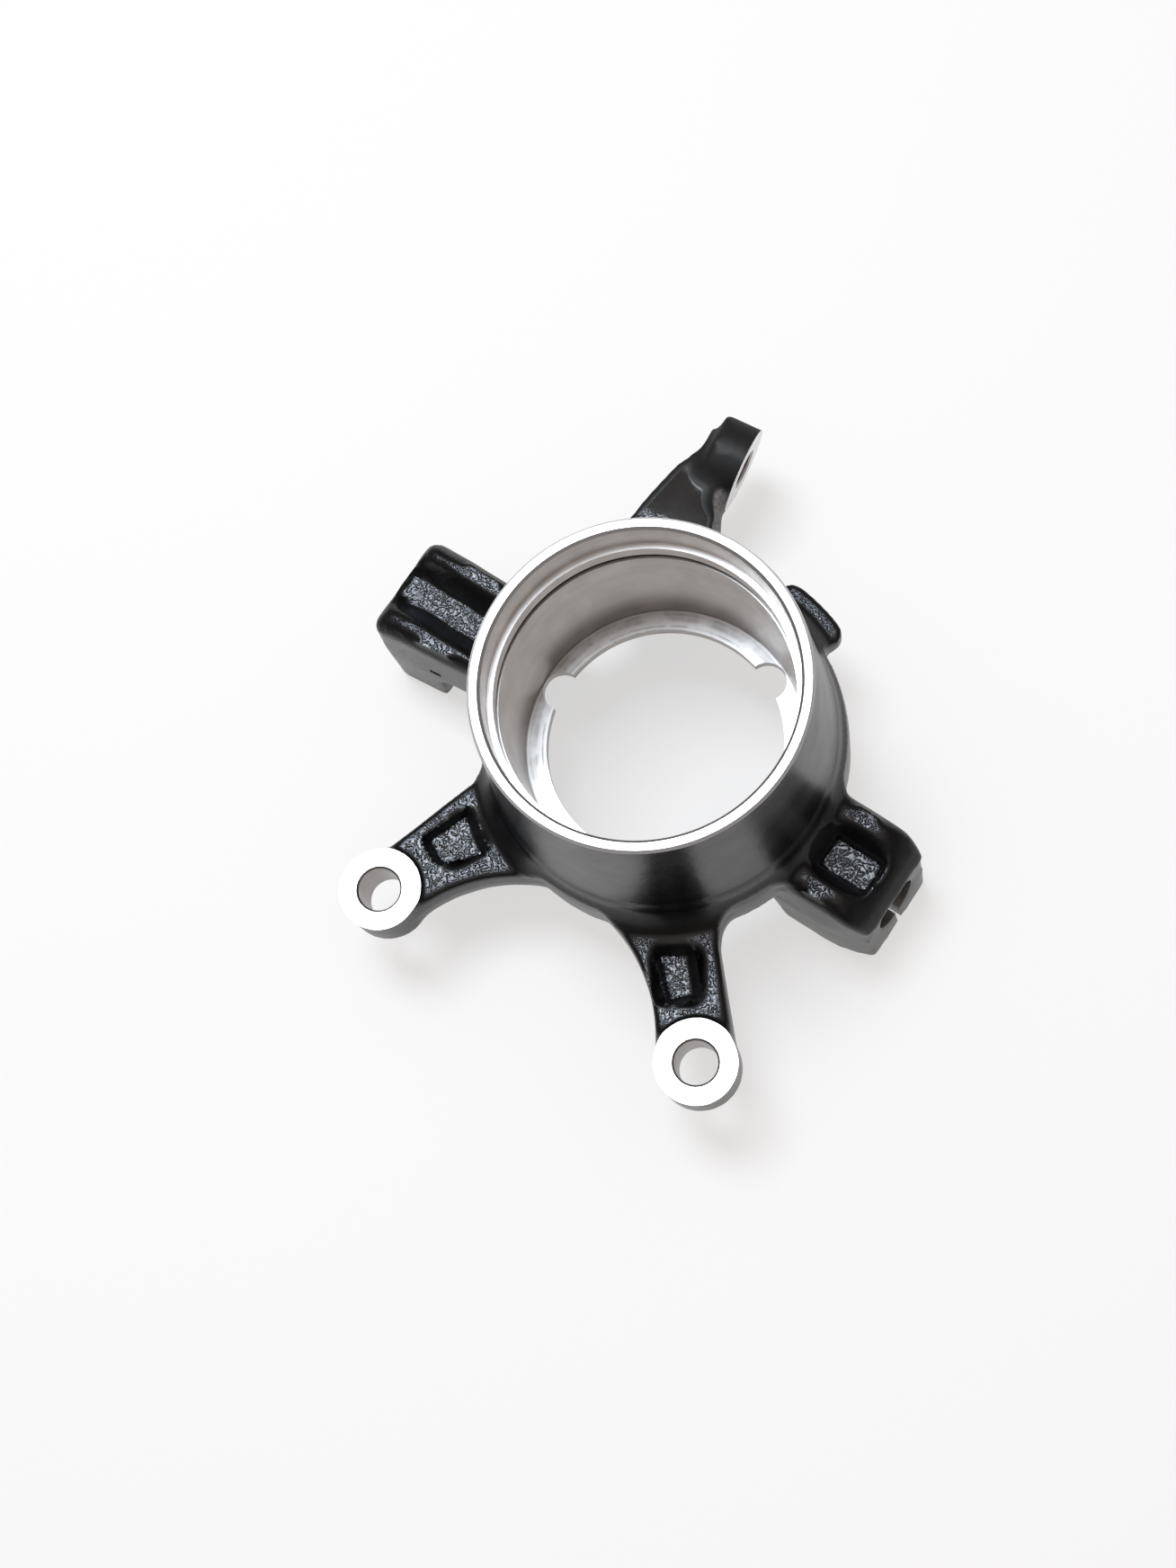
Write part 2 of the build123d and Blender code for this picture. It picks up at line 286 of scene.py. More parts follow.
def makeBlackPaint():
    coat, arm = blackPaint, steeringArmPaint
    material, tree, shader = newMaterial("blackCastPaint")
    place = tree.nodes.new("ShaderNodeTexCoord").outputs["Object"]
    geometry = tree.nodes.new("ShaderNodeNewGeometry")
    spot = splitNode(tree, place)
    facing = splitNode(tree, geometry.outputs["Normal"])
    level = ramp(tree, facing["Z"], coat["wrinkleLevel"])
    wrinkled = times(tree, level, ramp(tree, spot["Y"], coat["wrinkleEnd"], mm))
    onArm = ramp(tree, spot["Y"], arm["start"], mm)

    wrinkles = wrinkleNode(tree, place)
    skin = noiseNode(tree, place, coat["skinPitch"], detail=3.0, rough=0.6)
    patches = noiseNode(tree, place, coat["hazePitch"], detail=3.0, rough=0.55)
    lumps = timesPlus(tree, ramp(tree, spot["X"], coat["lumpyFrom"], mm), coat["lumpiness"], 1.0)
    lumps = timesPlus(tree, onArm, -arm["smoothness"], lumps)
    skinNormal = bumpNode(tree, times(tree, skin, lumps), coat["skinStrength"], coat["skinHeight"])
    normal = bumpNode(tree, wrinkles, wrinkled, coat["wrinkleHeight"], skinNormal)
    tree.links.new(normal, shader.inputs["Normal"])

    # painted highlight on the wrinkle tops of level faces, standing in for the window's glint
    paintedGlint = times(tree, ramp(tree, wrinkles, coat["paintedGlintRange"]), wrinkled)
    colour = mixColour(tree, ramp(tree, patches, coat["hazeRange"]), coat["colour"], coat["haze"])
    colour = mixColour(tree, paintedGlint, colour, coat["paintedGlint"])

    # painted reflection: upright faces get faint lighter specks, and a mottled lighter grey on their upper
    # part at the outer end of the upper block, standing in for the floor's reflection
    mottle = noiseNode(tree, place, coat["mottlePitch"], detail=3.0, rough=0.6, distort=0.6)
    mottle = ramp(tree, mottle, coat["mottleRange"])
    paintedSheen = times(tree, mottle, ramp(tree, spot["X"], coat["sheenFrom"], mm))
    paintedSheen = times(tree, paintedSheen, ramp(tree, spot["Z"], coat["sheenUpFrom"], mm))
    specks = noiseNode(tree, place, coat["speckPitch"], detail=1.0, rough=0.4)
    specks = times(tree, ramp(tree, specks, coat["speckRange"]), coat["speckShare"])
    upright = ramp(tree, facing["Z"], coat["uprightFace"])
    side = times(tree, mathNode(tree, "MAXIMUM", paintedSheen, specks), upright)
    colour = mixColour(tree, side, colour, coat["paintedSheen"])

    # painted reflection: the flank of the steering arm facing +x is painted a mottled lighter grey up to its
    # eye, standing in for the floor's reflection
    flankSheen = times(tree, onArm, ramp(tree, spot["Y"], arm["flankEnd"], mm))
    flankSheen = times(tree, flankSheen, ramp(tree, facing["X"], arm["flankFacing"]))
    mottledSheen = timesPlus(tree, mottle, arm["flankMottle"], 1 - arm["flankMottle"])
    colour = mixColour(tree, times(tree, flankSheen, mottledSheen), colour, arm["flankSheen"])
    tree.links.new(colour, shader.inputs["Base Color"])

    smoothest = coat["roughness"] - coat["roughnessSpread"] / 2
    roughness = timesPlus(tree, patches, coat["roughnessSpread"], smoothest)
    satin = timesPlus(tree, level, -coat["satin"], coat["satin"])
    satin = timesPlus(tree, onArm, -arm["gloss"], satin)
    sloping = ramp(tree, facing["Z"], arm["slope"])
    atEye = ramp(tree, spot["Y"], arm["eyeStart"], mm)
    dull = times(tree, onArm, mathNode(tree, "MAXIMUM", sloping, atEye))
    satin = timesPlus(tree, dull, arm["satin"], satin)
    tree.links.new(mathNode(tree, "ADD", roughness, satin), shader.inputs["Roughness"])
    shader.inputs["Specular IOR Level"].default_value = coat["specular"]
    return material


# sizes of what is machined into the casting, in mm
bearingHousing = {
    "seatRadius": 36.0, "seatLength": 38.4,
    "grooveRadius": 37.3, "grooveTop": 40.4,
    "landRadius": 36.25, "ledgeHeight": 44.3,
    "mouthRadius": 37.7, "rimRadius": 40.9, "mouthHeight": 53.5, "rimChamfer": 0.7,
    "footRadius": 47.0, "wallRadius": 44.2, "wallFoot": 12.0,
    "flareReach": 50.3, "flareBottom": -0.2, "flareBend": (45.9, 5.0), "flareCatch": (0.15, 0.4),
    "throatRadius": 30.6, "throatDepth": 3.0,
    "notchRadius": 5.1, "notchAngle": 59.7, "notchCount": 3,
    "cutFrom": -6, "cutTo": 60, "cutClear": 6,
    "uprightWall": 0.5, "wallSlack": 0.1,    # which faces of the cut take the bore's finish
}
caliperEars = {
    "places": [(-46.5, -67.65), (46.5, -67.65)],
    "faceHeight": 0.6, "bottom": -13.5, "earRadius": 10.7, "holeRadius": 5.5, "holeChamfer": 0.5,
    "faceCut": 6, "faceOver": 2,
}
tieRodEye = {
    "centre": (-20.3, 78.4, -10.0), "turn": 3.3, "tilt": 7.8,
    "eyeRadius": 11.4, "thickness": 10.2, "holeRadius": 5.1, "holeChamfer": 0.5,
    "faceRadius": 12.2, "faceCut": 3, "seatRadius": 6.5, "seatReach": 9.0,
    # the run from the top of the steering arm into the flank of the eye
    "blendLine": ((-30.0, 79.5), (-21.0, 68.0)), "blendReach": 8.0, "blendCore": 0.4,
    "blendHeight": (-22, -12),
}
ballJoints = {
    "turn": -5.2, "bossHalfWidth": 14.4, "footHeight": -37.0,
    "studRadius": 7.2, "studHeight": -20.0, "studTilt": 4.5,
    "slitWidth": 1.8, "markLow": (-68.8, -18.0, -15.2), "markHigh": (-65.4, -13.4, -13.2),
    "clearRadius": 3.3, "tappedRadius": 2.5, "pinchInset": 9.0, "pinchHeight": -31.5,
    "pinchEnd": -11.3, "pinchReach": 32, "pinchSteps": 64,
    "boreClear": 8, "slitClear": 6, "slitBelow": 1,
    # reach is along the line of the two bosses
    "ends": [
        {"reach": -85.7, "boreDepth": 16.0, "slitStop": -69.2},
        {"reach": 70.6, "boreDepth": 24.0, "slitStop": 45.2},
    ],
}

# bare metal with the marks of the tool, ring sizes in mm
bareMetal = {
    "machinedFace": {"colour": (0.84, 0.84, 0.845), "roughness": 0.42,
                     "ringPitch": 0.30, "ringHeight": 0.010, "shadeAndOil": 0.85},
    # painted shade: the bore wall is the same steel as the faces, given a darker, warmer colour inside the
    # bore
    "shadedTurnedBore": {"colour": (0.41, 0.375, 0.352), "roughness": 0.34,
                   "ringPitch": 0.22, "ringHeight": 0.004, "shadeAndOil": 0.85},
    # painted shade: hole walls are the same steel too, given a darker colour inside the holes
    "shadedDrilledHole": {"colour": (0.40, 0.38, 0.37), "roughness": 0.38,
                    "ringPitch": 0.25, "ringHeight": 0.006, "shadeAndOil": 0},
    "ringStrength": 0.6, "ringShade": 0.80, "ringRange": (0.35, 0.60),
    "cloudPitch": 7.0, "cloudRange": (0.60, 0.30), "roughnessSpread": 0.12,
}
# painted shade in the ring groove and down towards the corner of the seat, and old oil streaks on the
# shoulder, in mm
oilAndShade = {
    # colour is the painted shade of the groove and the seat's corner, streak is the oil on the shoulder
    "colour": (0.055, 0.047, 0.043), "streak": (0.13, 0.122, 0.118),
    "grooveDepth": (0.3, 0.5), "grooveLip": (0.8, 0.2), "grooveFoot": (30, 31),
    "seatInside": (35.6, 35.8), "seatOutside": (36.6, 36.2),
    "cornerHeight": (22, 4), "cornerCreep": 8, "cornerShare": 0.62,
    "shoulderEdge": (35.6, 35.3), "shoulderTop": (3.6, 3.4),
    "streakPitch": 1.1, "streakRange": (0.40, 0.62), "patchPitch": 5.0, "patchRange": (0.35, 0.65),
    "streakShare": 0.55, "streakLeast": 0.12,
}


def makeTurnedMetal(name):
    # the marks run round the bearing axis
    finish = bareMetal[name]
    material, tree, shader = newMaterial(name)
    place = tree.nodes.new("ShaderNodeTexCoord").outputs["Object"]
    spot = splitNode(tree, place)
    radius = mathNode(tree, "SQRT", timesPlus(tree, spot["Y"], spot["Y"], times(tree, spot["X"], spot["X"])))
    rings = tree.nodes.new("ShaderNodeCombineXYZ")
    tree.links.new(radius, rings.inputs["X"])
    tree.links.new(spot["Z"], rings.inputs["Y"])
    marks = noiseNode(tree, rings.outputs[0], finish["ringPitch"], detail=2.0, rough=0.5)
    clouds = noiseNode(tree, place, bareMetal["cloudPitch"], detail=3.0, rough=0.55)
    normal = bumpNode(tree, marks, bareMetal["ringStrength"], finish["ringHeight"])
    tree.links.new(normal, shader.inputs["Normal"])
    darker = tuple(part * bareMetal["ringShade"] for part in finish["colour"])
    tint = mixColour(tree, ramp(tree, marks, bareMetal["ringRange"]), darker, finish["colour"])
    tint = mixColour(tree, ramp(tree, clouds, bareMetal["cloudRange"]), tint, finish["colour"])
    # painted shade in the ring groove and the seat's corner, and oil streaks on the shoulder
    if finish["shadeAndOil"]:
        tint = oiledAndShaded(tree, tint, finish["shadeAndOil"], place, radius, spot["Z"], rings.outputs[0], clouds)
    tree.links.new(tint, shader.inputs["Base Color"])
    smoothest = finish["roughness"] - bareMetal["roughnessSpread"] / 2
    roughness = timesPlus(tree, clouds, bareMetal["roughnessSpread"], smoothest)
    tree.links.new(roughness, shader.inputs["Roughness"])
    shader.inputs["Metallic"].default_value = 1.0
    return material


def oiledAndShaded(tree, tint, amount, place, radius, height, rings, clouds):
    land, top = bearingHousing["landRadius"], bearingHousing["grooveTop"]
    groove = times(tree, ramp(tree, height, [top + past for past in oilAndShade["grooveLip"]], mm),
                   ramp(tree, height, oilAndShade["grooveFoot"], mm))
    groove = times(tree, ramp(tree, radius, [land + past for past in oilAndShade["grooveDepth"]], mm), groove)
    seat = times(tree, ramp(tree, radius, oilAndShade["seatInside"], mm),
                 ramp(tree, radius, oilAndShade["seatOutside"], mm))
    uneven = mathNode(tree, "ADD", height, times(tree, clouds, oilAndShade["cornerCreep"] * mm))
    corner = times(tree, ramp(tree, uneven, oilAndShade["cornerHeight"], mm), seat)
    shoulder = times(tree, ramp(tree, radius, oilAndShade["shoulderEdge"], mm),
                     ramp(tree, height, oilAndShade["shoulderTop"], mm))
    streaks = noiseNode(tree, rings, oilAndShade["streakPitch"], detail=4.0, rough=0.75)
    patchy = noiseNode(tree, place, oilAndShade["patchPitch"], detail=2.0, rough=0.5)
    streaks = times(tree, ramp(tree, streaks, oilAndShade["streakRange"]),
                    ramp(tree, patchy, oilAndShade["patchRange"]))
    streaks = timesPlus(tree, streaks, oilAndShade["streakShare"], oilAndShade["streakLeast"])
    tint = mixColour(tree, times(tree, streaks, shoulder), tint, oilAndShade["streak"])
    # painted shade: the seat darkens towards its corner and the groove is darkened
    tint = mixColour(tree, times(tree, corner, amount * oilAndShade["cornerShare"]), tint, oilAndShade["colour"])
    return mixColour(tree, times(tree, groove, amount), tint, oilAndShade["colour"])


paint = makeBlackPaint()
machinedFace = makeTurnedMetal("machinedFace")
boreWall = makeTurnedMetal("shadedTurnedBore")
shadedDrilledHole = makeTurnedMetal("shadedDrilledHole")
print("materials made")

# how the raw casting is made before anything is machined
casting = {
    "grainSize": 0.85,        # mm, edge of the casting's mesh
    "softening": 7,           # rounds of smoothing, more gives rounder cast edges
    "crownSoftening": 12,     # further rounds on the crowns of the two bosses
    "blendSoftening": 60,     # further rounds where the steering arm runs into its eye
    "softenStep": 0.5,        # how far each round moves a point
    "leastWeight": 0.01,      # points with less weight than this aren't smoothed further
    "waviness": 0.10,         # mm, slow unevenness of the cast skin
    "wavePitch": 9.0,         # mm
    "waveInwards": 0.6,       # share of the waviness that the skin is drawn in by
    "sharpAngle": 34,         # degrees, edges sharper than this stay crisp
}
# metal that fills the machined places until they are cut, in mm
stock = {
    "allowance": 2.0,         # extra metal on faces that get machined
    "coreLap": 2.5, "coreLift": 0.1, "coneFoot": 5.5, "coneTop": 1.9, "coneSwell": 0.1, "coneDraw": 0.22,
    "wallLap": 2, "wallDraw": 0.15, "wallSteps": 512,
    "nutSeatFill": 4, "nutSeatLap": 1,
    "slitInset": 1.8, "slitHalfWidth": 1.6, "slitFoot": 0.3, "slitTop": 1,
    "studCover": 1.6, "plugLap": 0.3,
}


def eyeDirection():
    turn, tilt = math.radians(tieRodEye["turn"]), math.radians(tieRodEye["tilt"])
    return Vector((math.cos(tilt) * math.cos(turn), math.cos(tilt) * math.sin(turn), -math.sin(tilt)))


def studAxis(reach):
    # mouth and outward direction of a stud bore
    side = 1 if reach > 0 else -1
    tilt = math.radians(ballJoints["studTilt"])
    spin = Matrix.Rotation(math.radians(ballJoints["turn"]), 3, "Z")
    mouth = spin @ Vector((reach, 0, ballJoints["studHeight"]))
    return mouth, spin @ Vector((side * math.cos(tilt), 0, math.sin(tilt)))


def housingStock():
    housing = bearingHousing
    top = housing["mouthHeight"] + stock["allowance"]
    foot = stock["coreLift"] - housing["throatDepth"]
    core = housing["seatRadius"] + stock["coreLap"]
    inner = housing["seatRadius"] + stock["wallLap"]
    rim, mouth = housing["rimRadius"], housing["mouthHeight"]
    return [turned("coreStock", [
        (0, foot), (core, foot), (core, mouth - stock["coneFoot"]),
        (rim + stock["coneSwell"], mouth - stock["coneTop"]), (rim - stock["coneDraw"], top), (0, top),
    ]), turned("wallStock", [
        (inner, 0), (housing["footRadius"], 0), (housing["wallRadius"], housing["wallFoot"]),
        (rim - stock["wallDraw"], top), (inner, top),
    ], stock["wallSteps"])]


def earAndEyeStock():
    ears, eye = caliperEars, tieRodEye
    extra = stock["allowance"]
    fill = []
    for x, y in ears["places"]:
        depth = ears["faceHeight"] - ears["bottom"]
        start = (x, y, ears["bottom"])
        fill.append(plainRod("earStock", start, (0, 0, 1), depth + extra, ears["earRadius"]))
    away = eyeDirection()
    start = Vector(eye["centre"]) - away * eye["thickness"]
    fill.append(plainRod("eyeStock", start, away, eye["thickness"] + extra, eye["eyeRadius"]))
    seatLength = stock["nutSeatFill"] + stock["nutSeatLap"]
    seatStart = start - away * stock["nutSeatFill"]
    fill.append(plainRod("seatStock", seatStart, away, seatLength, eye["seatRadius"]))
    return fill


def bossStock():
    joints = ballJoints
    fill = []
    for end in joints["ends"]:
        reach, depth = end["reach"], end["boreDepth"]
        side = 1 if reach > 0 else -1
        near, far = sorted((reach - side * stock["slitInset"], end["slitStop"]))
        low = (near, -stock["slitHalfWidth"], joints["footHeight"] + stock["slitFoot"])
        high = (far, stock["slitHalfWidth"], joints["studHeight"] + stock["slitTop"])
        fill.append(block("slitStock", low, high, joints["turn"]))
        mouth, outward = studAxis(reach)
        fill.append(plainRod("studStock", mouth - outward * depth, outward, depth - stock["studCover"],
                             joints["studRadius"] + stock["plugLap"]))
        start = (reach - side * joints["pinchInset"], joints["pinchEnd"] - stock["plugLap"],
                 joints["pinchHeight"])
        pinch = plainRod("pinchStock", start, (0, 1, 0), joints["bossHalfWidth"] - joints["pinchEnd"],
                         joints["clearRadius"] + stock["plugLap"])
        pinch.data.transform(Matrix.Rotation(math.radians(joints["turn"]), 4, "Z"))
        fill.append(pinch)
    return fill


def makeRawCasting():
    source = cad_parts["knuckle"]
    raw = bpy.data.objects.new("knuckleCasting", source.data.copy())
    scene.collection.objects.link(raw)
    fill = housingStock() + earAndEyeStock() + bossStock()
    for part in fill:
        outwards(part)
    gathered(raw, fill)
    remesh = raw.modifiers.new("skin", "REMESH")
    remesh.mode = "VOXEL"
    remesh.voxel_size = casting["grainSize"] * mm
    smooth = raw.modifiers.new("soft", "SMOOTH")
    smooth.factor = casting["softenStep"]
    smooth.iterations = casting["softening"]
    return settled(raw)


def softenRegion(obj, name, rounds, weightAt):
    group = obj.vertex_groups.new(name=name)
    for vertex in obj.data.vertices:
        weight = weightAt(vertex.co / mm)
        if weight > casting["leastWeight"]:
            group.add([vertex.index], weight, "REPLACE")
    soften = obj.modifiers.new(name, "SMOOTH")
    soften.factor = casting["softenStep"]
    soften.iterations = rounds
    soften.vertex_group = name
    settled(obj)
    obj.vertex_groups.clear()


def onBossLine(place):
    # x runs along the line of the two bosses, y across it
    return Matrix.Rotation(math.radians(-ballJoints["turn"]), 3, "Z") @ place


# the channelled tops of the two bosses; spans are (start, end, low y, high y) along the boss line, in mm
crowns = {
    "start": 44, "halfWidth": 18, "lowest": -16,
    "upperSoft": {"along": (46, 52), "height": (-7, -3)},
    "lowerSoft": {"along": (45, 50), "height": (-12, -7)},
    "upperFloor": {"side": -1, "height": -4.5, "span": (50, 84.2, -3.0, 3.4), "fade": 1.3},
    "lowerFloor": {"side": 1, "height": -6.5, "span": (50, 62.6, -3.7, 4.0), "fade": 1.2},
    "pads": [
        {"side": -1, "height": 2.75, "span": (61, 69.5, -12.6, -10.2), "fade": 2.0},
        {"side": -1, "height": 2.75, "span": (61, 70.5, 10.0, 12.0), "fade": 2.0},
        {"side": 1, "height": 1.15, "span": (52, 55.5, -12.6, -10.6), "fade": 2.2},
        {"side": 1, "height": 1.15, "span": (51.5, 56, 10.0, 12.2), "fade": 2.2},
    ],
    "floorCatch": 1.5, "padCatch": 1.6,    # points this far below a floor or pad are still levelled
    "upperFall": {"start": 71, "bend": 26, "slope": 0.21},
    "lowerFall": {"start": 55.5, "bend": 22, "slope": 0.30},
    "fallHeight": (-14, -2),
    "endSwell": 0.7, "swellAlong": (76, 84), "swellDown": (4, 18),
}


def inFloor(floor, place):
    # 1 on the flat floor of a hollow, fading to 0 just outside it
    spot = onBossLine(place)
    x, y = abs(spot.x), spot.y
    start, end, low, high = floor["span"]
    fade = floor["fade"]
    along = ease(x, start - fade, start) * (1 - ease(x, end, end + fade))
    across = ease(y, low - fade, low) * (1 - ease(y, high, high + fade))
    return along * across * (spot.x * floor["side"] > 0)


def onCrowns(place):
    along = onBossLine(place).x
    upperSoft, lowerSoft = crowns["upperSoft"], crowns["lowerSoft"]
    upper = ease(-along, *upperSoft["along"]) * ease(place.z, *upperSoft["height"])
    lower = ease(along, *lowerSoft["along"]) * ease(place.z, *lowerSoft["height"])
    inside = max(inFloor(crowns["upperFloor"], place), inFloor(crowns["lowerFloor"], place))
    return (upper + lower) * (1 - inside)


def crownFall(distance, bend, slope):
    # falls away in a curve, then along a straight slope
    if distance <= 0:
        return 0
    turnEnd = bend * slope
    if distance < turnEnd:
        return distance * distance / (2 * bend)
    return slope * (distance - turnEnd / 2)


def shapeCrowns(obj):
    # the ridges fall away towards the ends and the hollows get level floors
    for vertex in obj.data.vertices:
        place = vertex.co / mm
        spot = onBossLine(place)
        if abs(spot.x) < crowns["start"] or abs(spot.y) > crowns["halfWidth"] or place.z < crowns["lowest"]:
            continue
        upper = spot.x < 0
        fall = crowns["upperFall"] if upper else crowns["lowerFall"]
        floor = crowns["upperFloor"] if upper else crowns["lowerFloor"]
        inside = inFloor(floor, place)
        drop = crownFall(abs(spot.x) - fall["start"], fall["bend"], fall["slope"])
        z = place.z - drop * ease(place.z, *crowns["fallHeight"]) * (1 - inside)
        if place.z > floor["height"] - crowns["floorCatch"]:
            z += inside * (floor["height"] - z)
        for pad in crowns["pads"]:
            if z > pad["height"] - crowns["padCatch"]:
                z += inFloor(pad, place) * (pad["height"] - z)
        vertex.co.z = z * mm


def straightenEnd(obj):
    # the end of the upper block stands straight and swells a little below its middle
    for vertex in obj.data.vertices:
        place = vertex.co / mm
        spot = onBossLine(place)
        swell = crowns["endSwell"] * ease(-spot.x, *crowns["swellAlong"])
        swell *= ease(-place.z, *crowns["swellDown"])
        if swell > 0:
            spot.x -= swell
            vertex.co = (Matrix.Rotation(math.radians(ballJoints["turn"]), 3, "Z") @ spot) * mm


# pockets in the two caliper arms, corners of their floors and rims anticlockwise in mm
armPockets = {
    "floorHeight": -3.8, "rimHeight": -0.25, "catchBelow": 1.5, "catchAbove": 1,
    "outlines": [
        {"floor": [(-36.1, -53.7), (-28.5, -46.8), (-37.4, -40.1), (-42.5, -50.2)],
         "rim": [(-34.1, -55.5), (-26.7, -43.6), (-38.9, -37.5), (-42.6, -52.6)]},
        {"floor": [(32.8, -56.6), (37.3, -53.0), (31.2, -44.9), (25.1, -48.4)],
         "rim": [(32.2, -59.5), (40.6, -53.0), (31.9, -41.9), (22.6, -46.6)]},
    ],
}


def edgeSides(outline):
    # outward side of each edge of an anticlockwise outline, as a normal and its distance
    sides = []
    for here, there in zip(outline, outline[1:] + outline[:1]):
        run = Vector(there) - Vector(here)
        out = Vector((run.y, -run.x)).normalized()
        sides.append((out, out.dot(Vector(here))))
    return sides


def pressPockets(obj):
    # level floors, steep sides and tight corners
    low, high = armPockets["floorHeight"], armPockets["rimHeight"]
    for pocket in armPockets["outlines"]:
        floorSides = edgeSides(pocket["floor"])
        widths = []
        for index, (out, reach) in enumerate(floorSides):
            ends = (pocket["rim"][index], pocket["rim"][(index + 1) % 4])
            widths.append(sum(out.dot(Vector(end)) - reach for end in ends) / 2)
        for vertex in obj.data.vertices:
            place = vertex.co / mm
            if not low - armPockets["catchBelow"] < place.z < high + armPockets["catchAbove"]:
                continue
            spot = place.to_2d()
            rises = []
            for (out, reach), width in zip(floorSides, widths):
                rises.append(max((out.dot(spot) - reach) / width, 0))
            rise = math.sqrt(sum(value * value for value in rises))
            if rise < 1:
                vertex.co.z = (low + rise * (high - low)) * mm


def onEyeBlend(place):
    # near the line where the top of the steering arm meets the flank of its eye
    start, end = (Vector(spot) for spot in tieRodEye["blendLine"])
    spot = place.to_2d()
    t = min(max((spot - start).dot(end - start) / (end - start).length_squared, 0), 1)
    away = (spot - start.lerp(end, t)).length
    reach = tieRodEye["blendReach"]
    near = 1 - ease(away, reach * tieRodEye["blendCore"], reach)
    return near * ease(place.z, *tieRodEye["blendHeight"])


def flareRadius(z):
    # the hollow curve at the foot of the wall, a circle through three points
    housing = bearingHousing
    a, b = Vector((housing["wallRadius"], housing["wallFoot"])), Vector(housing["flareBend"])
    c = Vector((housing["flareReach"], housing["flareBottom"]))
    twice = 2 * (a.x * (b.y - c.y) + b.x * (c.y - a.y) + c.x * (a.y - b.y))
    aa, bb, cc = a.length_squared, b.length_squared, c.length_squared
    x = (aa * (b.y - c.y) + bb * (c.y - a.y) + cc * (a.y - b.y)) / twice
    y = (aa * (c.x - b.x) + bb * (a.x - c.x) + cc * (b.x - a.x)) / twice
    reach = (a - Vector((x, y))).length
    return x - math.sqrt(max(reach * reach - (z - y) ** 2, 0))


def roundFlare(obj):
    # draws the skin at the foot of the wall onto the hollow curve
    for vertex in obj.data.vertices:
        z = vertex.co.z / mm
        if not bearingHousing["flareBottom"] < z < bearingHousing["wallFoot"]:
            continue
        radius = vertex.co.to_2d().length / mm
        wanted = flareRadius(z)
        pull = 1 - ease(abs(radius - wanted), *bearingHousing["flareCatch"])
        scale = 1 + pull * (wanted / radius - 1)
        vertex.co.x *= scale
        vertex.co.y *= scale


def addWaviness(obj):
    height, pitch = casting["waviness"] * mm, casting["wavePitch"] * mm
    mesh = obj.data
    normals = [vertex.vector.copy() for vertex in mesh.vertex_normals]
    for vertex, normal in zip(mesh.vertices, normals):
        swell = noise.noise(vertex.co / pitch)
        vertex.co += normal * (swell - casting["waveInwards"]) * height


def keepWithin(obj, low, high):
    # no lump of the raw skin stands out past the overall size, the top is turned off later
    for vertex in obj.data.vertices:
        x, y, z = vertex.co
        vertex.co = (min(max(x, low[0]), high[0]), min(max(y, low[1]), high[1]), max(z, low[2]))


knuckle = makeRawCasting()
softenRegion(knuckle, "crowns", casting["crownSoftening"], onCrowns)
softenRegion(knuckle, "eyeBlend", casting["blendSoftening"], onEyeBlend)
shapeCrowns(knuckle)
straightenEnd(knuckle)
pressPockets(knuckle)
roundFlare(knuckle)
addWaviness(knuckle)
keepWithin(knuckle, cadLow, cadHigh)
print("raw casting:", len(knuckle.data.polygons), "faces")
paintAll(knuckle, paint)


# machining, each cut leaves its own finish
def machineHousing():
    housing = bearingHousing
    throat, seat, groove, land = (housing[name] for name in
                                  ("throatRadius", "seatRadius", "grooveRadius", "landRadius"))
    mouth, rim, top = housing["mouthRadius"], housing["rimRadius"], housing["mouthHeight"]
    chamfer, bottom = housing["rimChamfer"], housing["cutFrom"]
    cutter = turned("housingCutter", [
        (0, bottom), (throat, bottom), (throat, 0), (seat, 0),
        (seat, housing["seatLength"]), (groove, housing["seatLength"]),
        (groove, housing["grooveTop"]), (land, housing["grooveTop"]),
        (land, housing["ledgeHeight"]), (mouth, housing["ledgeHeight"]),
        (mouth, top - chamfer), (mouth + chamfer, top),
        (rim - chamfer, top), (rim + chamfer, top - 2 * chamfer),
        (rim + housing["cutClear"], top - 2 * chamfer),
        (rim + housing["cutClear"], housing["cutTo"]), (0, housing["cutTo"]),
    ])
    paintAll(cutter, machinedFace)
    cutter.data.materials.append(boreWall)
    for face in cutter.data.polygons:
        radius = face.center.to_2d().length / mm
        upright = abs(face.normal.z) < housing["uprightWall"]
        if upright and radius < mouth + housing["wallSlack"]:
            face.material_index = 1
    cutAway(knuckle, cutter)
    notches = []
    for k in range(housing["notchCount"]):
        angle = math.radians(housing["notchAngle"] + k * 360 / housing["notchCount"])
        centre = (throat * math.cos(angle), throat * math.sin(angle), bottom)
        notches.append(plainRod("notchCutter", centre, (0, 0, 1), -bottom, housing["notchRadius"]))
    cutter = gathered(notches[0], notches[1:])
    cutAway(knuckle, paintAll(cutter, shadedDrilledHole))


drill = {"lead": 1, "through": 3}    # mm above the face where it starts, mm past the far side


def drillProfile(radius, chamfer, depth):
    lead = drill["lead"]
    return [(0, 0), (radius + chamfer + lead, 0), (radius + chamfer, lead), (radius, lead + chamfer),
            (radius, depth), (0, depth)]


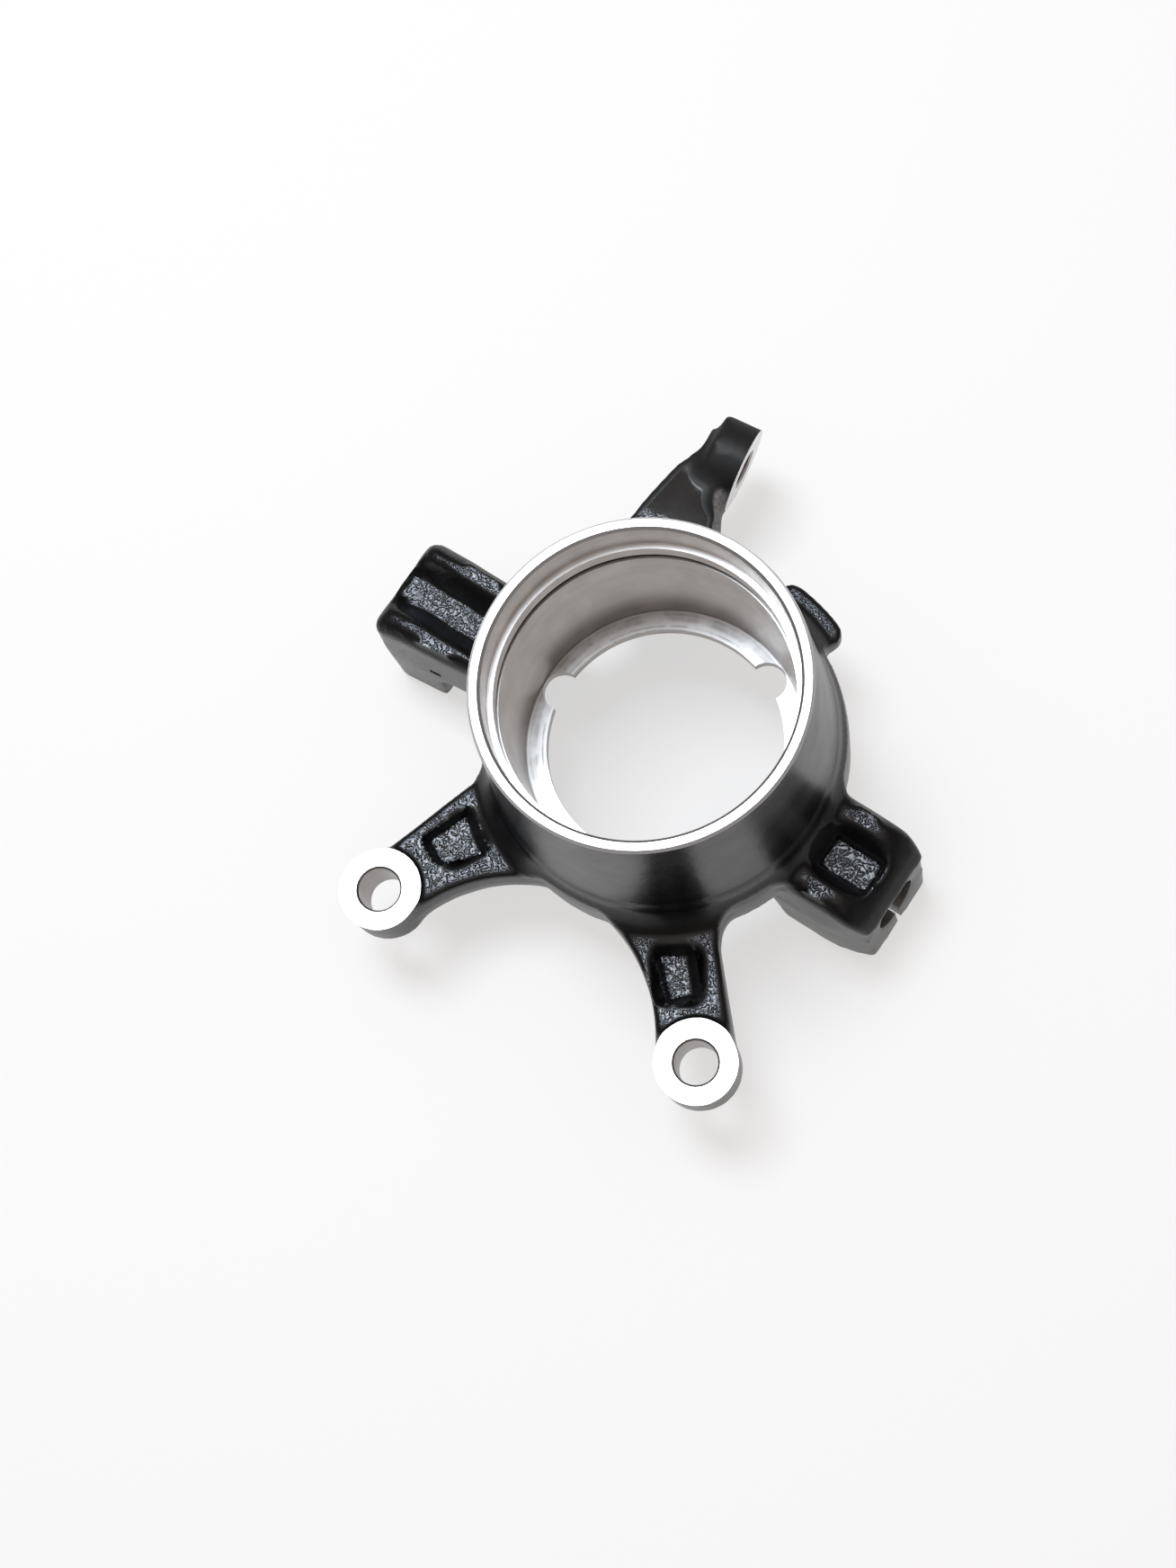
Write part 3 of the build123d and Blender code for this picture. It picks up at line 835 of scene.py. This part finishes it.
def machineFaces():
    ears, eye = caliperEars, tieRodEye
    slabs = []
    for x, y in ears["places"]:
        slabs.append(plainRod("earFace", (x, y, ears["faceHeight"]), (0, 0, 1), ears["faceCut"],
                              ears["earRadius"] + ears["faceOver"]))
    slabs.append(plainRod("eyeFace", eye["centre"], eyeDirection(), eye["faceCut"], eye["faceRadius"]))
    cutAway(knuckle, paintAll(gathered(slabs[0], slabs[1:]), machinedFace))
    holes = []
    for x, y in ears["places"]:
        top = ears["faceHeight"] + drill["lead"]
        depth = top - ears["bottom"] + drill["through"]
        profile = drillProfile(ears["holeRadius"], ears["holeChamfer"], depth)
        holes.append(rod("caliperHole", (x, y, top), (0, 0, -1), profile))
    depth = eye["thickness"] + (drill["lead"] + drill["through"])
    start = Vector(eye["centre"]) + eyeDirection() * drill["lead"]
    profile = drillProfile(eye["holeRadius"], eye["holeChamfer"], depth)
    holes.append(rod("tieRodHole", start, -eyeDirection(), profile))
    cutAway(knuckle, paintAll(gathered(holes[0], holes[1:]), shadedDrilledHole))
    back = Vector(eye["centre"]) - eyeDirection() * eye["thickness"]
    seat = plainRod("nutSeat", back, -eyeDirection(), eye["seatReach"], eye["seatRadius"])
    cutAway(knuckle, paintAll(seat, machinedFace))


def machineBosses():
    joints = ballJoints
    bores, slits, pinches = [], [], []
    for end in joints["ends"]:
        reach, depth = end["reach"], end["boreDepth"]
        side = 1 if reach > 0 else -1
        mouth, outward = studAxis(reach)
        bores.append(plainRod("studBore", mouth - outward * depth, outward, depth + joints["boreClear"],
                              joints["studRadius"]))
        middle = reach - side * depth / 2
        halfLength, halfWidth = depth / 2 + joints["slitClear"], joints["slitWidth"] / 2
        low = (middle - halfLength, -halfWidth, joints["footHeight"] - joints["slitBelow"])
        high = (middle + halfLength, halfWidth, joints["studHeight"])
        slits.append(block("slit", low, high, joints["turn"]))
        start = (reach - side * joints["pinchInset"], joints["pinchEnd"], joints["pinchHeight"])
        tapped, clear = joints["tappedRadius"], joints["clearRadius"]
        split, far = -joints["pinchEnd"], joints["pinchReach"]
        pinch = rod("pinchHole", start, (0, 1, 0), [
            (0, 0), (tapped, 0), (tapped, split), (clear, split), (clear, far), (0, far),
        ], joints["pinchSteps"])
        pinch.data.transform(Matrix.Rotation(math.radians(joints["turn"]), 4, "Z"))
        pinches.append(pinch)
    slits.append(block("sideMark", joints["markLow"], joints["markHigh"], joints["turn"]))
    for group, finish in ((bores, shadedDrilledHole), (slits, paint), (pinches, shadedDrilledHole)):
        cutAway(knuckle, paintAll(gathered(group[0], group[1:]), finish))


machineHousing()
print("housing machined")
machineFaces()
machineBosses()
print("faces, holes and slits machined:", len(knuckle.data.polygons), "faces")

knuckle.data.shade_smooth()
knuckle.data.set_sharp_from_angle(angle=math.radians(casting["sharpAngle"]))
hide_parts("knuckle")
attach(knuckle, "root")

# a pale floor, a dim room and one soft window overhead
stage = {
    "floorHeight": -37.2, "floorHalf": 6000,    # mm
    "paper": (0.97, 0.945, 0.935), "paperRoughness": 0.9, "paperSpecular": 0.1, "paperWhite": 0.60,
    "horizon": 0.15, "overhead": 0.88, "overheadFrom": (0.55, 0.95), "roomColour": (1.0, 0.905, 0.85),
    "windowPlace": (-0.285, 0.145, 1.10), "windowSize": (0.50, 0.31), "windowPower": 9.2,
    "windowColour": (0.85, 0.925, 1.0),
}


def makeFloor():
    half, z = stage["floorHalf"], stage["floorHeight"]
    corners = [(-half, -half, z), (half, -half, z), (half, half, z), (-half, half, z)]
    floor = meshObject("floor", corners, [(0, 1, 2, 3)])
    material, tree, shader = newMaterial("palePaper")
    shader.inputs["Base Color"].default_value = (*stage["paper"], 1)
    shader.inputs["Roughness"].default_value = stage["paperRoughness"]
    shader.inputs["Specular IOR Level"].default_value = stage["paperSpecular"]
    # the paper shows partly as plain white to the camera and in reflections, and keeps its shadow
    rays = tree.nodes.new("ShaderNodeLightPath").outputs
    seen = mathNode(tree, "ADD", rays["Is Camera Ray"], rays["Is Glossy Ray"])
    seen = mathNode(tree, "ADD", seen, rays["Is Transmission Ray"], clamp=True)
    white = tree.nodes.new("ShaderNodeEmission")
    mix = tree.nodes.new("ShaderNodeMixShader")
    tree.links.new(times(tree, seen, stage["paperWhite"]), mix.inputs["Fac"])
    tree.links.new(shader.outputs[0], mix.inputs[1])
    tree.links.new(white.outputs[0], mix.inputs[2])
    tree.links.new(mix.outputs[0], tree.nodes["Material Output"].inputs["Surface"])
    floor.data.materials.append(material)


def makeWindow():
    data = bpy.data.lights.new("window", "AREA")
    data.shape = "RECTANGLE"
    data.size, data.size_y = stage["windowSize"]
    data.energy = stage["windowPower"]
    data.color = stage["windowColour"]
    light = bpy.data.objects.new("window", data)
    light.location = stage["windowPlace"]
    scene.collection.objects.link(light)


def makeRoom():
    # the room gets brighter overhead
    world = bpy.data.worlds.new("room")
    world.use_nodes = True
    tree = world.node_tree
    sky = tree.nodes["Background"]
    heading = splitNode(tree, tree.nodes.new("ShaderNodeTexCoord").outputs["Generated"])
    lift = ramp(tree, heading["Z"], stage["overheadFrom"])
    strength = timesPlus(tree, lift, stage["overhead"] - stage["horizon"], stage["horizon"])
    tree.links.new(strength, sky.inputs["Strength"])
    sky.inputs["Color"].default_value = (*stage["roomColour"], 1)
    scene.world = world


makeFloor()
makeRoom()
makeWindow()

cameraSetup = {
    "place": (0.12478, -0.10135, 0.52837), "turn": (14.6677, 8.4225, 29.6028), "lens": 49.5413,
    "sensor": 36, "clipStart": 0.01,
}
camera = bpy.data.objects.new("camera", bpy.data.cameras.new("camera"))
scene.collection.objects.link(camera)
camera.location = cameraSetup["place"]
camera.rotation_euler = [math.radians(a) for a in cameraSetup["turn"]]
camera.data.lens = cameraSetup["lens"]
camera.data.sensor_width = cameraSetup["sensor"]
camera.data.clip_start = cameraSetup["clipStart"]
scene.camera = camera
scene.view_settings.view_transform = "Standard"
print("stage ready")
